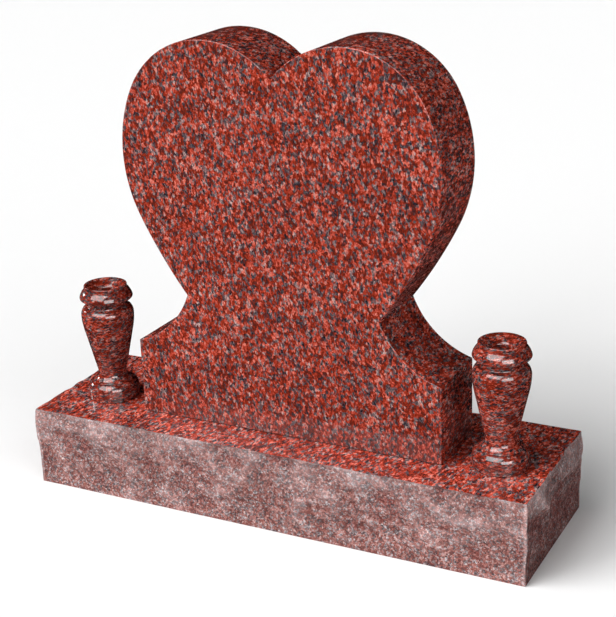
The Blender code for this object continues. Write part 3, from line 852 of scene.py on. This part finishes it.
def build_vase(vase, node_name):
    """The profile turned about the vase's axis, with a ring of facets for each of its points."""
    low, high = VASE_BOXES[node_name]
    middle = ((low.x + high.x) / 2, (low.y + high.y) / 2)
    profile = vase_profile(vase)
    body = profile[1:-1]
    count = vase.facets
    turn = 2 * math.pi * np.arange(count) / count
    x = middle[0] + body[:, :1] * np.cos(turn)
    y = middle[1] + body[:, :1] * np.sin(turn)
    z = low.z + body[:, 1:] + 0 * x
    rings = np.stack([x, y, z], -1).reshape(-1, 3)
    ends = np.array([[*middle, low.z + profile[0, 1]], [*middle, low.z + profile[-1, 1]]])
    points = np.concatenate([rings, ends])
    quads = ring_quads(len(body), count)[:, ::-1]
    here, after = np.arange(count), (np.arange(count) + 1) % count
    last = (len(body) - 1) * count
    floor_fan = np.stack([here, after, np.full(count, len(rings))], -1)
    under_fan = np.stack([last + after, last + here, np.full(count, len(rings) + 1)], -1)
    faces = quads.tolist() + floor_fan.tolist() + under_fan.tolist()
    # The foot's chamfer gets painted contact shade, a dark band where the vase meets the base
    joint_shade_top = low.z + VASE_PROFILE["foot_chamfer"] + JOINT_SHADE_REACH
    kinds = joint_shade_kinds(points, quads, joint_shade_top, 1, 0) + [0] * count + [1] * count
    materials = ["turned_stone", "joint_and_contact_shade"]
    piece = mesh_object(node_name + "_turned", points, faces, materials, kinds, SHARP_VASE)
    join_body(piece, "turned_granite", node_name)


# Stage

CAMERA_PLACE = (1.15895, -2.14737, 1.27487)
CAMERA_RIGHT = (0.890327, 0.453851, -0.036558)
CAMERA_DOWN = (0.126424, -0.323543, -0.937730)
CAMERA_AHEAD = (-0.437417, 0.830265, -0.345437)
SENSOR_WIDTH = 36.0
# Windows that only reflections show: name, azimuth, elevation, size, and the setting that drives each
WINDOWS = (("window", -15, 49.5, (12.5, 10.9), "window"), ("low_window", 44.5, 20, (8.9, 4.7), "strip"),
           ("side_lamp", -93, 15, (2.1, 2.1), "lamp"))
WINDOW_DISTANCE = 12.0
WINDOW_AIM = (0.0, 0.0, 0.35)
# Four broad soft lights, each with its azimuth, its elevation and its part of the daylight
DAYLIGHTS = (("left_daylight", -52, 30, 0.315), ("high_daylight", -52, 57, 0.217),
             ("front_daylight", -15, 30, 0.308), ("right_daylight", 60, 30, 0.160))
DAYLIGHT_SPREAD = 40
FLOOR_GREY, FLOOR_ROUGHNESS, FLOOR_SPECULAR = 0.88, 0.9, 0.1
FLOOR_REACH, FLOOR_DROP = 40.0, -0.0006


def seen_from(azimuth, elevation):
    """The direction from the object towards this azimuth (0 is the front, 90 the right) and elevation."""
    a, e = math.radians(azimuth), math.radians(elevation)
    return Vector((math.sin(a) * math.cos(e), -math.cos(a) * math.cos(e), math.sin(e)))


def light_holder(name, light, away):
    """A light's object, turned so that it shines from this direction."""
    holder = bpy.data.objects.new(name, light)
    bpy.context.scene.collection.objects.link(holder)
    holder.rotation_euler = away.to_track_quat("Z", "Y").to_euler()
    return holder


def soft_box(name, azimuth, elevation, size, strength):
    """A rectangular light whose strength grows with its area, seen in the polished faces alone."""
    light = bpy.data.lights.new(name, "AREA")
    light.shape = "RECTANGLE"
    light.size, light.size_y = size
    light.energy = strength * math.pi * size[0] * size[1]
    away = seen_from(azimuth, elevation)
    holder = light_holder(name, light, away)
    holder.location = Vector(WINDOW_AIM) + away * WINDOW_DISTANCE
    holder.visible_camera = holder.visible_diffuse = False


def broad_light(name, azimuth, elevation, strength):
    """Even light over the whole floor from one side, which the polished faces don't mirror."""
    light = bpy.data.lights.new(name, "SUN")
    light.angle = math.radians(DAYLIGHT_SPREAD)
    light.energy = strength
    light_holder(name, light, seen_from(azimuth, elevation)).visible_glossy = False


def place_camera(stage):
    """The camera where the photograph's own corners put it."""
    camera = bpy.data.cameras.new("camera")
    camera.sensor_width = SENSOR_WIDTH
    camera.lens = stage.focal_length
    holder = bpy.data.objects.new("camera", camera)
    bpy.context.scene.collection.objects.link(holder)
    columns = [Vector(CAMERA_RIGHT), -Vector(CAMERA_DOWN), -Vector(CAMERA_AHEAD)]
    turned = Matrix(columns).transposed().to_4x4()
    holder.matrix_world = Matrix.Translation(CAMERA_PLACE) @ turned
    bpy.context.scene.camera = holder


def lay_floor():
    """A plain pale floor just under the base, which the polished faces don't mirror."""
    _, shader = new_material("pale_floor")
    shader.inputs["Base Color"].default_value = (FLOOR_GREY, FLOOR_GREY, FLOOR_GREY, 1.0)
    dull(shader, FLOOR_ROUGHNESS, FLOOR_SPECULAR)
    reach = FLOOR_REACH
    corners = np.array([[-reach, -reach, FLOOR_DROP], [reach, -reach, FLOOR_DROP], [reach, reach, FLOOR_DROP],
                        [-reach, reach, FLOOR_DROP]])
    floor = mesh_object("floor", corners, [[0, 1, 2, 3]], ["pale_floor"], [0], SHARP_BASE)
    floor.visible_glossy = False


def build_stage(stage):
    """The camera, the windows, the daylight, the even light of the room and the floor."""
    scene = bpy.context.scene
    place_camera(stage)
    for name, azimuth, elevation, size, setting in WINDOWS:
        soft_box(name, azimuth, elevation, size, getattr(stage, setting))
    for name, azimuth, elevation, part in DAYLIGHTS:
        broad_light(name, azimuth, elevation, part * stage.daylight)
    world = bpy.data.worlds.new("room")
    scene.world = world
    world.use_nodes = True
    background = world.node_tree.nodes["Background"]
    background.inputs["Color"].default_value = (1.0, 1.0, 1.0, 1.0)
    background.inputs["Strength"].default_value = stage.room
    world.cycles_visibility.glossy = False
    scene.view_settings.view_transform = "Standard"
    scene.view_settings.look = "None"
    lay_floor()


# Operators and panel

class HEADSTONE_OT_stone(bpy.types.Operator):
    """Make the granite's materials."""
    bl_idname = "headstone.stone"
    bl_label = "Make granite"

    def execute(self, context):
        stone = context.scene.headstone_stone
        polished_material("polished_heart", stone, stone.tablet_stretch, stone.polish, stone.tablet_lightness)
        # The edges and the base's top take lighter copies of the tablet's granite, painted light from above
        polished_material("polished_edges", stone, stone.edge_stretch, stone.polish, stone.edge_tone_and_painted_light)
        polished_material("polished_top", stone, stone.base_stretch, stone.polish + TOP_DULLNESS,
                          stone.top_tone_and_painted_light)
        polished_material("turned_stone", stone, stone.vase_stretch, stone.vase_polish, stone.vase_lightness)
        pitched_material("broken_sides", stone, context.scene.headstone_base.height)
        joint_shade_material("joint_and_contact_shade", stone)
        return {"FINISHED"}


class HEADSTONE_OT_base(bpy.types.Operator):
    """Build the base with its pitched sides and polished top."""
    bl_idname = "headstone.base"
    bl_label = "Build base"

    def execute(self, context):
        build_base(context.scene.headstone_base)
        return {"FINISHED"}


class HEADSTONE_OT_tablet(bpy.types.Operator):
    """Build the heart tablet."""
    bl_idname = "headstone.tablet"
    bl_label = "Build tablet"

    def execute(self, context):
        build_tablet(context.scene.headstone_tablet)
        return {"FINISHED"}


class HEADSTONE_OT_vases(bpy.types.Operator):
    """Build the two turned flower vases."""
    bl_idname = "headstone.vases"
    bl_label = "Build vases"

    def execute(self, context):
        for name in VASE_BOXES:
            build_vase(context.scene.headstone_vase, name)
        return {"FINISHED"}


class HEADSTONE_OT_stage(bpy.types.Operator):
    """Set up the camera, the soft lights and the floor."""
    bl_idname = "headstone.stage"
    bl_label = "Set the stage"

    def execute(self, context):
        build_stage(context.scene.headstone_stage)
        return {"FINISHED"}


OPERATORS = (HEADSTONE_OT_stone, HEADSTONE_OT_base, HEADSTONE_OT_tablet, HEADSTONE_OT_vases,
             HEADSTONE_OT_stage)


class HEADSTONE_PT_panel(bpy.types.Panel):
    """The headstone's pieces and their sizes."""
    bl_label = "Headstone"
    bl_idname = "HEADSTONE_PT_panel"
    bl_space_type = "VIEW_3D"
    bl_region_type = "UI"
    bl_category = "Headstone"

    def draw(self, context):
        for operator, name in zip(OPERATORS, SETTINGS):
            box = self.layout.box()
            box.operator(operator.bl_idname)
            for key in SETTINGS[name].__annotations__:
                box.prop(getattr(context.scene, name), key)


def register():
    """Registers the settings, the operators and the panel."""
    for kind in (*SETTINGS.values(), *OPERATORS, HEADSTONE_PT_panel):
        bpy.utils.register_class(kind)
    for name, kind in SETTINGS.items():
        setattr(bpy.types.Scene, name, bpy.props.PointerProperty(type=kind))


def unregister():
    """Takes them all away again."""
    for name in SETTINGS:
        delattr(bpy.types.Scene, name)
    for kind in reversed((*SETTINGS.values(), *OPERATORS, HEADSTONE_PT_panel)):
        bpy.utils.unregister_class(kind)


def main():
    """Registers the add-on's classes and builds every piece."""
    register()
    bpy.ops.headstone.stone()
    bpy.ops.headstone.base()
    bpy.ops.headstone.tablet()
    bpy.ops.headstone.vases()
    bpy.ops.headstone.stage()


if __name__ == "__main__":
    main()
